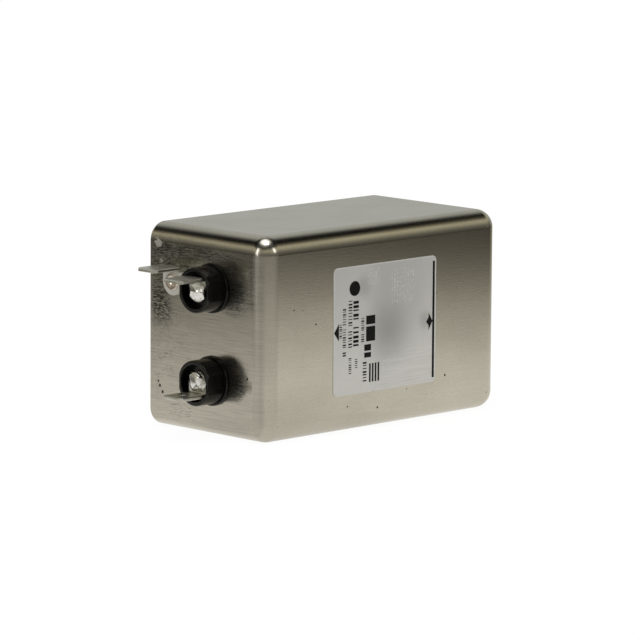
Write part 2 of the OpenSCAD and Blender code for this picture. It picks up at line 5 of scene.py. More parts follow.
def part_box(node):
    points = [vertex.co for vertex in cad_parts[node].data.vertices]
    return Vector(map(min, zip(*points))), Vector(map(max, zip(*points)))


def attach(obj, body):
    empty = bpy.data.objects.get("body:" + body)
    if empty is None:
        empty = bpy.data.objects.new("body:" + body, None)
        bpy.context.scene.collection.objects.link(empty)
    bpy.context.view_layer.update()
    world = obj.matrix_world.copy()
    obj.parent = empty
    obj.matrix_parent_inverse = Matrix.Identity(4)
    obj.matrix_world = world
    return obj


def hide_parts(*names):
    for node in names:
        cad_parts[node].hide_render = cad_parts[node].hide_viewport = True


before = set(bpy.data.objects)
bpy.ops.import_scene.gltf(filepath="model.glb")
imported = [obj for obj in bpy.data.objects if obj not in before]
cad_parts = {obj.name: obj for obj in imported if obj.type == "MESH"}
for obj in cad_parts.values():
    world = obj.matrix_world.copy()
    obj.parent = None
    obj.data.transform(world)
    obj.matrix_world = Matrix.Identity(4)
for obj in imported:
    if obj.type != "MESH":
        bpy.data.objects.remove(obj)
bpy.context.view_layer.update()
print("frame loaded:", len(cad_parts), "nodes")

mm = 0.001


def boxOf(node):  # lowest and highest corner of a node, in millimetres
    low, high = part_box(node)
    return low / mm, high / mm


canLow, canHigh = boxOf("case_can")
labelLow, labelHigh = boxOf("rating_label")


class Wire:  # one node output, so that shader maths reads as arithmetic
    def __init__(self, shop, socket):
        self.shop = shop
        self.socket = socket

    def calc(self, operation, *values, clamp=False):
        settings = {"operation": operation, "use_clamp": clamp}
        return self.shop.node("ShaderNodeMath", settings, dict(enumerate(values)))

    def __add__(self, other):
        return self.calc("ADD", self, other)

    def __radd__(self, other):
        return self.calc("ADD", other, self)

    def __sub__(self, other):
        return self.calc("SUBTRACT", self, other)

    def __rsub__(self, other):
        return self.calc("SUBTRACT", other, self)

    def __mul__(self, other):
        return self.calc("MULTIPLY", self, other)

    def __rmul__(self, other):
        return self.calc("MULTIPLY", other, self)

    def __truediv__(self, other):
        return self.calc("DIVIDE", self, other)

    def __rtruediv__(self, other):
        return self.calc("DIVIDE", other, self)

    def __pow__(self, other):
        return self.calc("POWER", self, other)

    def __rpow__(self, other):
        return self.calc("POWER", other, self)

    def __abs__(self):
        return self.calc("ABSOLUTE", self)

    def clamped(self):
        return self.calc("ADD", self, 0.0, clamp=True)

    def ramp(self, low, high, start, end):  # start below low, end above high, soft between
        settings = {"interpolation_type": "SMOOTHSTEP", "clamp": True}
        sockets = {"Value": self, "From Min": low, "From Max": high, "To Min": start, "To Max": end}
        return self.shop.node("ShaderNodeMapRange", settings, sockets)

    def rise(self, low, high):
        return self.ramp(low, high, 0.0, 1.0)

    def fall(self, low, high):
        return self.ramp(low, high, 1.0, 0.0)

    def inside(self, low, high, soft):  # 1 between low and high
        return self.rise(low - soft, low + soft) * self.fall(high - soft, high + soft)


class Shop:  # adds nodes to one tree
    def __init__(self, tree):
        self.tree = tree
        tree.nodes.clear()

    def fill(self, socket, value):  # with a link, a colour or a plain value
        if isinstance(value, Wire):
            self.tree.links.new(value.socket, socket)
        elif isinstance(value, tuple) and len(value) == 3 and socket.type == "RGBA":
            socket.default_value = (*value, 1.0)
        else:
            socket.default_value = value

    def node(self, kind, settings=None, sockets=None, out=0):
        made = self.tree.nodes.new(kind)
        for name, value in (settings or {}).items():
            if name == "stops":
                ramp = made.color_ramp.elements
                while len(ramp) < len(value):
                    ramp.new(0.5)
                for stop, (place, colour) in zip(ramp, value):
                    stop.position = place
                    stop.color = (*colour, 1.0)
            else:
                setattr(made, name, value)
        for key, value in (sockets or {}).items():
            self.fill(made.inputs[key], value)
        return Wire(self, made.outputs[out]) if made.outputs else None

    def mix(self, factor, first, second):  # colours
        settings = {"data_type": "RGBA", "blend_type": "MIX", "clamp_factor": True}
        return self.node("ShaderNodeMix", settings, {0: factor, 6: first, 7: second}, out=2)

    def either(self, factor, first, second):  # surfaces
        return self.node("ShaderNodeMixShader", None, {0: factor, 1: first, 2: second})

    def rays(self, *names):  # what kind of ray is asking
        path = self.node("ShaderNodeLightPath").socket.node
        return [Wire(self, path.outputs[name]) for name in names]

    def axes(self, spot, names="XYZ"):
        split = self.node("ShaderNodeSeparateXYZ", None, {0: spot}).socket.node
        return [Wire(self, split.outputs[name]) for name in names]


class Finish(Shop):  # one material, with its patterns on object coordinates in millimetres
    def __init__(self, name, **plain):
        self.material = bpy.data.materials.new(name)
        self.material.use_nodes = True
        super().__init__(self.material.node_tree)
        surface = self.node("ShaderNodeBsdfPrincipled")
        self.skin = surface.socket.node
        self.node("ShaderNodeOutputMaterial", None, {0: surface})
        metres = self.node("ShaderNodeTexCoord", out=3)
        self.spot = self.node("ShaderNodeVectorMath", {"operation": "SCALE"}, {0: metres, "Scale": 1 / mm})
        self.set(**plain)

    def set(self, **sockets):
        for name, value in sockets.items():
            self.fill(self.skin.inputs[name.replace("_", " ")], value)

    def bump(self, height, depth):  # depth in millimetres
        sockets = {"Height": height, "Distance": depth * mm, "Strength": 1.0}
        self.set(Normal=self.node("ShaderNodeBump", {"invert": False}, sockets))

    def stretch(self, scale, offset=(0.0, 0.0, 0.0), turn=(0.0, 0.0, 0.0)):
        sockets = {"Vector": self.spot, "Location": offset, "Rotation": turn, "Scale": scale}
        return self.node("ShaderNodeMapping", {"vector_type": "POINT"}, sockets)

    def noise(self, scale, detail, rough, twist=0.0, spot=None):
        sockets = {"Vector": spot or self.spot, "Scale": scale, "Detail": detail, "Roughness": rough,
                   "Distortion": twist}
        return self.node("ShaderNodeTexNoise", {"noise_dimensions": "3D"}, sockets)

    def drawn(self, scale, detail=3.0, rough=0.5, twist=0.0, **move):  # noise drawn out along an axis
        return self.noise(1.0, detail, rough, twist, self.stretch(scale, **move))

    def cells(self, **move):
        sockets = {"Vector": self.stretch(**move), "Scale": 1.0}
        return self.node("ShaderNodeTexVoronoi", {"feature": "F1"}, sockets)

    def near(self, point, radius, soft=0.5):  # round soft spot about a point
        ends = {0: self.spot, 1: point}
        away = self.node("ShaderNodeVectorMath", {"operation": "DISTANCE"}, ends, out=1)
        return away.fall(radius * (1 - soft), radius * (1 + soft))

    def spots(self, rows):  # several of them: point, radius, softness, weight
        total = 0.0
        for point, radius, soft, weight in rows:
            total = total + self.near(point, radius, soft) * weight
        return total


def dress(finish, *nodes):
    for name in nodes:
        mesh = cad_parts[name].data
        mesh.materials.clear()
        mesh.materials.append(finish.material)


# brushed nickel plate of the can, dulled and speckled at the load end
steel = {
    "bright": (0.655, 0.622, 0.535),
    "dull": (0.455, 0.428, 0.36),
    "roughness": 0.10,
    "streakDepth": 0.0058,
    "grainDepth": 0.0052,
    "stain": (0.038, 0.036, 0.030),
    "handled": (0.40, 0.375, 0.335),
    "flux": (0.25, 0.235, 0.2),
    # painted shade beside the bushings, in place of their dark reflection in the steel
    "bushingShade": (0.06, 0.058, 0.05),
    "pit": (0.03, 0.028, 0.025),
    "pitDepth": 4.0,  # pits and stains are this many streaks deep
    "stainDepth": 1.5,
    "bareRim": (0.86, 0.85, 0.82),
    "lifted": (0.42, 0.385, 0.34),
    # brushed lines run round the can, with a fine grain under them
    "fine": {"scale": (0.10, 0.10, 4.6), "rough": 0.66},
    "thin": {"scale": (0.34, 0.34, 11.0), "offset": (3.0, 7.0, 0.0), "detail": 2.0},
    "slant": {"scale": (0.8, 0.8, 5.5), "offset": (2.0, 4.0, 0.0), "turn": (0.12, 0.12, 0.0), "rough": 0.65},
    "grain": {"scale": (1.7, 1.7, 2.3), "detail": 4.0, "rough": 0.8},
    "cloud": {"scale": (0.06, 0.06, 0.09), "offset": (4.0, 1.0, 2.0), "detail": 2.0},
    # marks of use, most of them drawn out along the brushing
    "speckle": {"scale": (0.85, 0.85, 4.6), "offset": (9.0, 2.0, 5.0), "detail": 4.0, "rough": 0.82},
    "blotch": {"scale": (0.3, 0.3, 0.5), "offset": (1.0, 6.0, 2.0), "rough": 0.6, "twist": 0.4},
    "drag": {"scale": (0.16, 0.16, 2.4), "offset": (5.0, 8.0, 3.0), "rough": 0.65},
    "dashes": {"scale": (0.22, 0.22, 4.8), "offset": (3.0, 1.0, 4.0), "rough": 0.75},
    "rub": {"scale": (0.07, 0.07, 3.4), "offset": (2.0, 0.0, 9.0), "rough": 0.7},
    "scratch": {"scale": (0.5, 0.5, 7.0), "turn": (0.42, 0.0, 0.0), "detail": 2.0},
    "ragged": {"scale": (0.9, 0.9, 1.2), "offset": (1.0, 3.0, 2.0), "rough": 0.7},
    "flecks": {"scale": (0.13, 0.13, 0.13), "offset": (2.0, 3.0, 1.0)},
    # soft round spots: point, radius, softness, weight
    # round the bushings: rougher, and darkened with specks as painted shade
    "blurAndShade": [((-38.0, -9.2, 33.8), 4.2, 0.6, 1.0), ((-38.0, -9.4, 13.2), 3.5, 0.5, 1.0)],
    # painted shade beside the bushings, in place of their dark reflection
    "bushingShadeSpots": [((-38.0, -7.6, 33.9), 3.6, 0.6, 1.0), ((-38.0, -7.7, 13.3), 3.5, 0.5, 1.0)],
    "bared": [((-37.9, 16.4, 42.6), 1.15, 0.9, 0.7), ((-38.0, 15.2, 42.3), 0.9, 0.9, 0.45)],
    "scab": ((-38.0, 15.9, 41.5), 0.75, 0.5),
    "nick": ((-38.0, 15.0, 38.6), 0.5, 0.3),
    # pits in the plating: place and radius
    "pits": [
        ((-38.0, 15.4, 9.7), 0.34), ((-38.0, 14.5, 8.3), 0.36), ((-38.0, 15.9, 10.7), 0.26),
        ((-38.0, -13.4, 14.7), 0.3), ((-22.1, -19.2, 26.2), 0.22), ((-29.0, -19.2, 30.1), 0.2),
        ((-11.9, -19.2, 6.1), 0.18), ((-2.2, -19.2, 4.8), 0.24), ((20.0, -19.2, 9.8), 0.26),
        ((23.5, -19.2, 30.2), 0.15),
    ],
}


def makeCanSteel():
    m = Finish("canSteel")
    x, y, z = m.axes(m.spot)
    end, side, top = canLow.x, canLow.y, canHigh.z
    fine = m.drawn(**steel["fine"])
    thin = m.drawn(**steel["thin"])
    slant = m.drawn(**steel["slant"])
    grain = m.drawn(**steel["grain"])
    cloud = m.drawn(**steel["cloud"])
    speckle = m.drawn(**steel["speckle"])
    blotch = m.drawn(**steel["blotch"])
    drag = m.drawn(**steel["drag"])
    dashes = m.drawn(**steel["dashes"])
    rub = m.drawn(**steel["rub"])
    scratch = m.drawn(**steel["scratch"])
    ragged = m.drawn(**steel["ragged"])
    flecks = m.cells(**steel["flecks"]).fall(0.022, 0.044) * 0.5

    # regions of the can
    load = x.fall(end + 0.6, end + 1.4)
    flat = z.fall(top - 4.6, top - 3.2)  # the roundings of the top are polished by the drawing
    crown = z.fall(top - 4.7, top - 3.7)  # and stay clean
    corner = x.fall(end + 3.4, end + 4.4) * y.fall(side + 3.2, side + 4.2)  # this edge has a soft sheen

    # where the load end is worn: a band below the top and both upright edges; round the bushings the same
    # specks and dulling are painted shade
    band = (z.rise(36.2, 39.8) * 0.55 + z.rise(40.0, 41.8) * 0.45) * crown
    band = band * (y.rise(-14.0, 6.0) * 0.7 + 0.25)
    farEdge = y.rise(10.5, 14.0) * z.inside(25.0, 41.0, 3.5) * crown
    nearEdge = y.fall(-15.6, -13.2) * z.inside(31.0, 41.0, 2.0) * 0.7
    # round the bushings the roughness is real, the darkening it brings into the wear is painted shade
    blurAndShade = m.spots(steel["blurAndShade"]) * (drag * 1.2 + 0.25)
    patch = load * (band + farEdge + nearEdge + blurAndShade).clamped()
    patch = patch * (1.0 - y.rise(16.9, 18.2) * 0.8) * (1.0 - corner * 0.8)

    # dark specks, dashes and scuffs, and specks worn bright
    worn = (patch * (blotch * 1.5 + drag + 0.05).clamped() * speckle.rise(0.45, 0.56) * 1.3).clamped()
    sprinkle = load * z.rise(3.0, 13.0) * y.rise(1.0, 13.0)
    sprinkle = sprinkle * speckle.rise(0.52, 0.62) * blotch.rise(0.42, 0.62) * 0.6
    dashed = load * z.inside(36.5, 42.6, 1.0) * y.rise(-16.0, 4.0)
    dashed = dashed * dashes.rise(0.53, 0.60) * (blotch * 1.6 - 0.2).clamped() * 0.8
    scuffs = load * z.inside(2.6, 6.4, 1.2) * y.inside(4.0, 12.5, 2.0) * scratch.rise(0.58, 0.64) * 0.64
    marks = (worn * 0.85 + sprinkle + dashed + flecks + scuffs).clamped()
    bare = (patch * speckle.fall(0.34, 0.42) * 0.6).clamped()

    # dulled by handling and flux, darkened beside the bushings by painted shade, bare where the plating
    # lifted, and pitted
    veil = (patch * (drag * 1.7 + blotch * 0.7 - 0.72).clamped()).clamped()
    handled = (load * (drag + rub * 1.2 - 0.62).clamped() + veil * 0.8).clamped()
    # painted shade: the dark beside each bushing stands in for its reflection
    bushingShade = (load * m.spots(steel["bushingShadeSpots"]) * (speckle * 0.7 + drag * 0.5 + 0.15)).clamped()
    chip = (m.spots(steel["bared"]) + ragged * 1.3 - 0.92).rise(0.08, 0.40) * 0.9
    pits = m.near(*steel["scab"]) * speckle.rise(0.42, 0.5) * (1.0 - chip)
    rims = m.near(*steel["nick"]) * grain.rise(0.4, 0.55)
    for point, size in steel["pits"]:
        pits = (pits + m.near(point, size, 0.35)).clamped()
        rims = rims + m.near(point, size * 1.35, 0.2) * (grain.rise(0.45, 0.6) * 0.6)

    plain = (cloud * 0.6 + fine * 0.42 + slant * 0.42 + grain * 0.62 - 0.70).clamped()
    colour = m.mix(plain, steel["bright"], steel["dull"])
    colour = m.mix(handled, colour, m.mix(veil, steel["handled"], steel["flux"]))
    colour = m.mix(bushingShade, colour, steel["bushingShade"])
    colour = m.mix(marks, m.mix(bare, colour, steel["bareRim"]), steel["stain"])
    colour = m.mix(pits, m.mix((rims * 0.8).clamped(), colour, steel["bareRim"]), steel["pit"])
    colour = m.mix(chip * (grain * 0.5 + 0.6), colour, steel["lifted"])
    rough = cloud * 0.06 + fine * 0.05 + load * flat * 0.05 + load * blurAndShade * 0.10 + steel["roughness"]
    rough = (rough + marks * 0.18 + pits * 0.3 + chip * 0.25 + corner * 0.10).clamped()
    m.set(Base_Color=colour, Roughness=rough, Metallic=1.0 - chip * 0.55)
    lines = (fine * 0.5 + thin * 0.2 + slant * 0.3) * (flat * 0.72 + 0.28) + load * rub * 0.3
    lines = lines + grain * (steel["grainDepth"] / steel["streakDepth"]) * (flat * 0.7 + 0.3)
    height = lines * (1.0 - corner * 0.65) - pits * steel["pitDepth"] - worn * steel["stainDepth"]
    m.bump(height, steel["streakDepth"])
    return m


dress(makeCanSteel(), "case_can")

# rolled and turned metal round the can
sheetMetals = {
    "plateSteel": {"bright": (0.585, 0.555, 0.49), "dull": (0.43, 0.40, 0.345), "rough": 0.20,
                   "streak": (0.12, 0.12, 5.0), "depth": 0.003},
    "insertSteel": {"bright": (0.64, 0.62, 0.57), "dull": (0.45, 0.43, 0.385), "rough": 0.18,
                    "streak": (1.0, 1.0, 1.0)},
    "rivetMetal": {"bright": (0.76, 0.69, 0.62), "dull": (0.52, 0.45, 0.39), "rough": 0.10,
                   "streak": (0.8, 0.8, 0.8), "depth": 0.001, "metallic": 0.93},
    "eyeletMetal": {"bright": (0.62, 0.56, 0.40), "dull": (0.42, 0.37, 0.26), "rough": 0.16},
}


def makeSheetMetal(name, bright, dull, rough, streak=(0.4, 6.0, 0.4), depth=0.002, metallic=1.0):
    m = Finish(name, Metallic=metallic)
    lines = m.drawn(streak, rough=0.6)
    cloud = m.noise(0.35, 3.0, 0.55)
    m.set(Base_Color=m.mix((cloud * 1.1 + lines * 0.4 - 0.4).clamped(), bright, dull),
          Roughness=(rough + cloud * 0.16 + lines * 0.06).clamped())
    m.bump(lines * 0.6 + m.noise(4.0, 2.0, 0.5) * 0.4, depth)
    return m


metals = {name: makeSheetMetal(name, **look) for name, look in sheetMetals.items()}
dress(metals["plateSteel"], "base_plate")
dress(metals["rivetMetal"], "ground_rivets")
dress(metals["eyeletMetal"], "terminal_eyelets")
print("can finishes made")


# tin plated tabs, with flux at the fold
tin = {
    "bright": (0.74, 0.73, 0.665),
    "dull": (0.52, 0.505, 0.435),
    "plate": (0.59, 0.575, 0.525),
    "flux": (0.16, 0.085, 0.03),
    "roughness": 0.27,
    "foldOut": (42.9, 45.3),  # the soldered fold, outwards from the middle and across
    "foldAcross": (-5.6, 1.6),
    "plateOut": (38.95, 39.25),  # the riveted plate ends between these
}


def makeTabMetal():
    m = Finish("tabMetal")
    x, y = m.axes(m.spot, "XY")
    out = abs(x)
    cloud = m.noise(0.55, 3.0, 0.6)
    lines = m.drawn((0.5, 5.0, 5.0), detail=2.0, rough=0.55)
    speck = m.noise(2.6, 4.0, 0.7)
    fold = out.inside(*tin["foldOut"], 0.5) * y.inside(*tin["foldAcross"], 0.8)
    flux = (fold * (speck * 3.2 - 1.72).clamped()).clamped()
    tone = m.mix((cloud * 1.5 + lines * 0.3 - 0.55).clamped(), tin["bright"], tin["dull"])
    plate = out.fall(*tin["plateOut"]) * y.rise(4.0, 5.0)  # keeps a matt, pale tin
    m.set(Base_Color=m.mix(flux, m.mix(plate, tone, tin["plate"]), tin["flux"]),
          Metallic=1.0 - plate * 0.55,
          Roughness=(tin["roughness"] + cloud * 0.16 + flux * 0.25).clamped())
    m.bump(lines * 0.5 + speck * 0.5, 0.003)
    return m


dress(makeTabMetal(), "tab_load_line", "tab_load_neutral", "tab_supply_line", "tab_supply_neutral",
      "ground_tab_load", "ground_tab_supply")

# black moulded bushings, with dust, and the edges of the face lighter: partly wear, partly painted highlight
bushingLook = {
    "black": (0.0018, 0.0018, 0.0016),
    "worn": (0.0055, 0.0052, 0.0044),
    # edge: lighter tone of the face edges, partly wear and partly painted highlight
    "edge": (0.022, 0.022, 0.017),
    "roughness": 0.15,
    "axis": -2.0,  # where the middle of a bushing is, across the can
    "innerEdge": (4.25, 4.55),  # radii
    "outerEdge": (4.95, 5.2),
}


def makeBushingPlastic():
    m = Finish("bushingPlastic", IOR=1.46, Specular_IOR_Level=0.30)
    x, y, z = m.axes(m.spot)
    upperLow, upperHigh = boxOf("bushing_load_line")
    lowerLow, lowerHigh = boxOf("bushing_load_neutral")
    upper = (upperLow.z + upperHigh.z) / 2
    lower = (lowerLow.z + lowerHigh.z) / 2
    reach = abs(upperLow.x)
    cloud = m.noise(0.5, 3.0, 0.6)
    dust = m.noise(2.4, 4.0, 0.75).rise(0.66, 0.76) * 0.3
    level = z.rise(canHigh.z / 2 - 0.5, canHigh.z / 2 + 0.5) * (upper - lower) + lower
    away = ((y - bushingLook["axis"]) ** 2.0 + (z - level) ** 2.0) ** 0.5
    edges = away.inside(*bushingLook["innerEdge"], 0.12) + away.inside(*bushingLook["outerEdge"], 0.12)
    # the edges of the face are lightened: partly wear, partly a painted highlight
    rim = abs(x).rise(reach - 0.6, reach - 0.05) * edges.clamped()
    dust = dust + rim * m.noise(1.3, 3.0, 0.7).rise(0.4, 0.6) * 2.2
    worn = m.mix(rim * 0.8, bushingLook["worn"], bushingLook["edge"])
    m.set(Base_Color=m.mix((cloud * 1.4 - 0.4 + dust).clamped(), bushingLook["black"], worn),
          Roughness=(bushingLook["roughness"] + cloud * 0.14).clamped())
    m.bump(m.noise(6.0, 2.0, 0.6), 0.004)
    return m


dress(makeBushingPlastic(), "bushing_load_line", "bushing_load_neutral", "bushing_supply_line",
      "bushing_supply_neutral")

# silver label film, rubbed and smudged, and greyer towards the top
film = {
    "pale": (0.625, 0.616, 0.588),
    "grey": (0.315, 0.313, 0.298),
    "ghost": (0.60, 0.60, 0.58),
    "roughness": 0.36,
    "rim": 0.25,
    # smudges: point, radius, softness, weight
    "smudges": [
        ((0.6, -19.3, 21.6), 5.4, 0.9, 0.50), ((3.5, -19.3, 26.0), 7.0, 0.9, 0.2),
        ((-7.2, -19.3, 33.2), 2.2, 0.8, 0.35), ((13.2, -19.3, 23.4), 1.8, 0.8, 0.4),
    ],
    # places with faint pale dashes: left, right, bottom, top
    "fields": [(1.8, 9.8, 28.4, 36.4), (-5.6, -1.6, 33.2, 37.2), (-1.0, 8.0, 10.5, 16.0)],
}


def makeLabelFilm():
    m = Finish("labelFilm", Specular_IOR_Level=0.6, Metallic=0.25)
    x, z = m.axes(m.spot, "XZ")
    cloud = m.drawn((0.10, 1.0, 0.07), detail=2.0, offset=(1.0, 0.0, 3.0))
    fibre = m.drawn((0.6, 1.0, 7.0), detail=2.0)
    wiped = m.drawn((0.12, 1.0, 5.0), detail=2.0, rough=0.6, offset=(0.0, 0.0, 7.0))
    # the film turns greyer towards the top
    greyed = m.spots(film["smudges"]) + z.rise(11.0, 38.0) * 0.42 + x.inside(-6.0, 14.0, 5.0) * 0.10
    greyed = (greyed + cloud * 0.3 - 0.13).clamped()
    greyed = (greyed + x.rise(-2.5, 1.0) * z.fall(16.5, 18.5) * (wiped - 0.5) * 1.1).clamped()
    rows = m.drawn((1.6, 1.0, 2.6), detail=2.0, rough=0.6, offset=(5.0, 0.0, 0.0)).rise(0.47, 0.60)
    waves = {"Vector": m.spot, "Scale": 0.36, "Distortion": 0.6, "Detail": 1.0}
    columns = m.node("ShaderNodeTexWave", {"wave_type": "BANDS", "bands_direction": "X"}, waves)
    field = 0.0
    for left, right, low, high in film["fields"]:
        field = field + x.inside(left, right, 0.3) * z.inside(low, high, 0.4)
    dashes = rows * columns.rise(0.35, 0.8) * field.clamped()
    rim = film["rim"]
    middle = x.inside(labelLow.x + rim, labelHigh.x - rim, 0.12)
    middle = middle * z.inside(labelLow.z + rim, labelHigh.z - rim, 0.12)
    tone = m.mix(greyed, film["pale"], film["grey"])
    tone = m.mix((dashes * 0.75 + (1.0 - middle) * 0.7).clamped(), tone, film["ghost"])
    m.set(Base_Color=tone, Roughness=(film["roughness"] + cloud * 0.10 + fibre * 0.05).clamped())
    m.bump(fibre * 0.5 + m.noise(1.1, 2.0, 0.5) * 0.4 + dashes * 0.9, 0.006)
    return m


dress(makeLabelFilm(), "rating_label")


def keep(name, bm, finish, smooth=False):  # bm in millimetres becomes a finished piece
    bmesh.ops.scale(bm, vec=(mm, mm, mm), verts=bm.verts)
    bmesh.ops.recalc_face_normals(bm, faces=bm.faces)
    mesh = bpy.data.meshes.new(name)
    bm.to_mesh(mesh)
    bm.free()
    for face in mesh.polygons:
        face.use_smooth = smooth
    mesh.materials.append(finish.material)
    piece = bpy.data.objects.new(name, mesh)
    bpy.context.scene.collection.objects.link(piece)
    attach(piece, "root")
    return piece


# tapped inserts in the base plate
insert = {
    "bodyRadius": 4.0,
    "faceRadius": 2.7,
    "boreRadius": 1.65,
    "threadDepth": 0.32,
    "threadPitch": 0.7,
    "chamfer": 0.22,
    "edge": 0.08,
    "shoulder": 0.8,  # thickness of the plate that the face stands in
    "steps": 64,
}


def insertOutline(back, front):  # radius and depth, from the body's far edge to the end of the bore
    body, face, bore = insert["bodyRadius"], insert["faceRadius"], insert["boreRadius"]
    step, edge, pitch = front - insert["shoulder"], insert["edge"], insert["threadPitch"]
    outline = [(body, back), (body, step), (face, step), (face, front - edge), (face - edge, front)]
    outline.append((bore + insert["chamfer"], front))
    root = bore + insert["threadDepth"]
    y = front - insert["chamfer"]
    while y - pitch > back + 0.1:  # one groove to each turn
        outline += [(bore, y), (bore, y - pitch * 0.12), (root, y - pitch * 0.5), (root, y - pitch * 0.62)]
        y -= pitch
    return outline + [(bore, y), (bore, back)]


def makeInserts():
    low, high = boxOf("threaded_inserts")
    bm = bmesh.new()
    for x in (low.x + insert["bodyRadius"], high.x - insert["bodyRadius"]):
        axis = Vector((x, 0, (low.z + high.z) / 2))
        ring = [bm.verts.new(axis + Vector((r, y, 0))) for r, y in insertOutline(low.y, high.y)]
        rim = [bm.edges.new((ring[k - 1], ring[k])) for k in range(len(ring))]
        bmesh.ops.spin(bm, geom=ring + rim, cent=axis, axis=(0, 1, 0), angle=math.tau, steps=insert["steps"],
                       use_merge=True, use_duplicate=False)
    piece = keep("tappedInserts", bm, metals["insertSteel"])
    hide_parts("threaded_inserts")


makeInserts()
print("inserts made")


# flat black print on the label: plain ticks, fields, bars and arrows
labelPrint = {
    "ink": (0.003, 0.003, 0.003),
    "wornInk": (0.015, 0.015, 0.0145),
    "inkHeight": 0.03,
    # rows of ticks run down the label: left edge, width, top, bottom, tick as a share of the pitch
    "rows": [
        (-14.75, 0.85, 25.2, 21.5, 0.30),
        (-13.65, 1.0, 28.7, 17.4, 0.30),
        (-11.85, 1.2, 30.4, 18.8, 0.28),
        (-11.7, 0.85, 17.2, 12.9, 0.26),
        (-10.3, 1.7, 30.2, 18.9, 0.34),
        (-9.7, 0.8, 16.8, 14.3, 0.26),
        (-7.7, 0.9, 26.0, 20.1, 0.32),
        (-7.15, 1.2, 15.8, 10.2, 0.32),
    ],
    # plain fields where marks would be: left, right, top, bottom
    "fields": [
        (-6.15, -3.25, 26.4, 24.4),
        (-6.15, -3.25, 23.9, 20.5),
        (-6.7, -4.55, 19.8, 18.35),
        (-6.7, -4.55, 17.95, 16.8),
    ],
    "bars": (-5.1, 4, 0.92, 0.5, 11.0, 15.3),  # ruled square: left, count, pitch, width, bottom, top
    "disc": (-9.9, 33.1, 1.7),
    "rule": (15.48, 16.14, 9.75, 37.0),
    # tip, base, height, half width, with the small point behind the second arrow as the last
    "arrows": [(-16.42, -14.9, 23.45, 2.0), (15.5, 14.25, 23.0, 2.05), (13.45, 14.25, 23.0, 0.95)],
}


def makeLabelInk():
    m = Finish("labelInk", Specular_IOR_Level=0.12)
    wear = m.noise(1.6, 3.0, 0.6)
    m.set(Base_Color=m.mix((wear * 1.4 - 0.5).clamped(), labelPrint["ink"], labelPrint["wornInk"]),
          Roughness=wear * 0.15 + 0.4)
    return m


def layBox(bm, left, right, low, high):
    deep = labelPrint["inkHeight"]
    made = bmesh.ops.create_cube(bm, size=1.0)["verts"]
    bmesh.ops.scale(bm, vec=(right - left, deep, high - low), verts=made)
    middle = ((left + right) / 2, labelLow.y - deep / 2, (low + high) / 2)
    bmesh.ops.translate(bm, vec=middle, verts=made)


def layRound(bm, segments, radius):  # lies against the label, with its first corner on the Z axis
    deep = labelPrint["inkHeight"]
    made = bmesh.ops.create_cone(bm, cap_ends=True, segments=segments, radius1=radius, radius2=radius,
                                 depth=deep)["verts"]
    bmesh.ops.rotate(bm, cent=(0, 0, 0), matrix=Matrix.Rotation(math.pi / 2, 3, "X"), verts=made)
    bmesh.ops.translate(bm, vec=(0, labelLow.y - deep / 2, 0), verts=made)
    return made


def layArrow(bm, tip, base, middle, half):  # a triangle that points along X
    made = layRound(bm, 3, 1.0)
    turn = math.copysign(math.pi / 2, tip - base)
    bmesh.ops.rotate(bm, cent=(0, 0, 0), matrix=Matrix.Rotation(turn, 3, "Y"), verts=made)
    bmesh.ops.scale(bm, vec=(abs(tip - base) / 1.5, 1.0, half / math.sin(math.radians(60))), verts=made)
    ahead = max(made, key=lambda v: v.co.x * (tip - base)).co.x
    bmesh.ops.translate(bm, vec=(tip - ahead, 0, middle), verts=made)


def layRow(bm, row, dice):  # ticks across the row, in groups
    left, width, top, low, share = row
    pitch = width * 0.58
    z = top
    group = dice.randint(5, 9)
    while z - pitch > low:
        if group == 0:
            group = dice.randint(5, 9)
            z -= pitch * 1.1
            continue
        group -= 1
        thick = pitch * share * dice.choice((0.9, 1.3, 1.9))
        layBox(bm, left, left + width, z - thick, z)
        z -= pitch


def makeLabelPrint():
    bm = bmesh.new()
    dice = random.Random(7)
    for row in labelPrint["rows"]:
        layRow(bm, row, dice)
    for left, right, top, low in labelPrint["fields"]:
        layBox(bm, left, right, low, top)
    left, count, pitch, wide, low, top = labelPrint["bars"]
    for k in range(count):
        layBox(bm, left + k * pitch, left + k * pitch + wide, low, top)
    layBox(bm, *labelPrint["rule"])
    x, z, radius = labelPrint["disc"]
    bmesh.ops.translate(bm, vec=(x, 0, z), verts=layRound(bm, 48, radius))
    for arrow in labelPrint["arrows"]:
        layArrow(bm, *arrow)
    keep("labelPrint", bm, makeLabelInk())


makeLabelPrint()
print("label made")


# crumpled solder over each foot
solderLook = {
    "tone": (0.86, 0.86, 0.845),
    "dull": (0.62, 0.61, 0.565),
    "flux": (0.10, 0.05, 0.018),
    "roughness": 0.14,
    "size": (1.5, 3.0, 2.6),  # how far it stands out, half its width and half its height
    "fold": 0.36,
    "facetEdge": 0.045,
    "seeds": {"solder_load_line": 11, "solder_load_neutral": 16, "solder_supply_line": 21,
              "solder_supply_neutral": 26},
}


def makeSolderMetal():
    m = Finish("solderMetal", Metallic=1.0)
    cloud = m.noise(0.9, 3.0, 0.6)
    speck = m.noise(1.7, 4.0, 0.7)
    flux = speck.rise(0.66, 0.76) * 0.7
    tone = m.mix(cloud.rise(0.42, 0.62), solderLook["tone"], solderLook["dull"])
    m.set(Base_Color=m.mix(flux, tone, solderLook["flux"]),
          Roughness=(solderLook["roughness"] + cloud * 0.16 + flux * 0.2).clamped())
    m.bump(speck, 0.012)
    return m


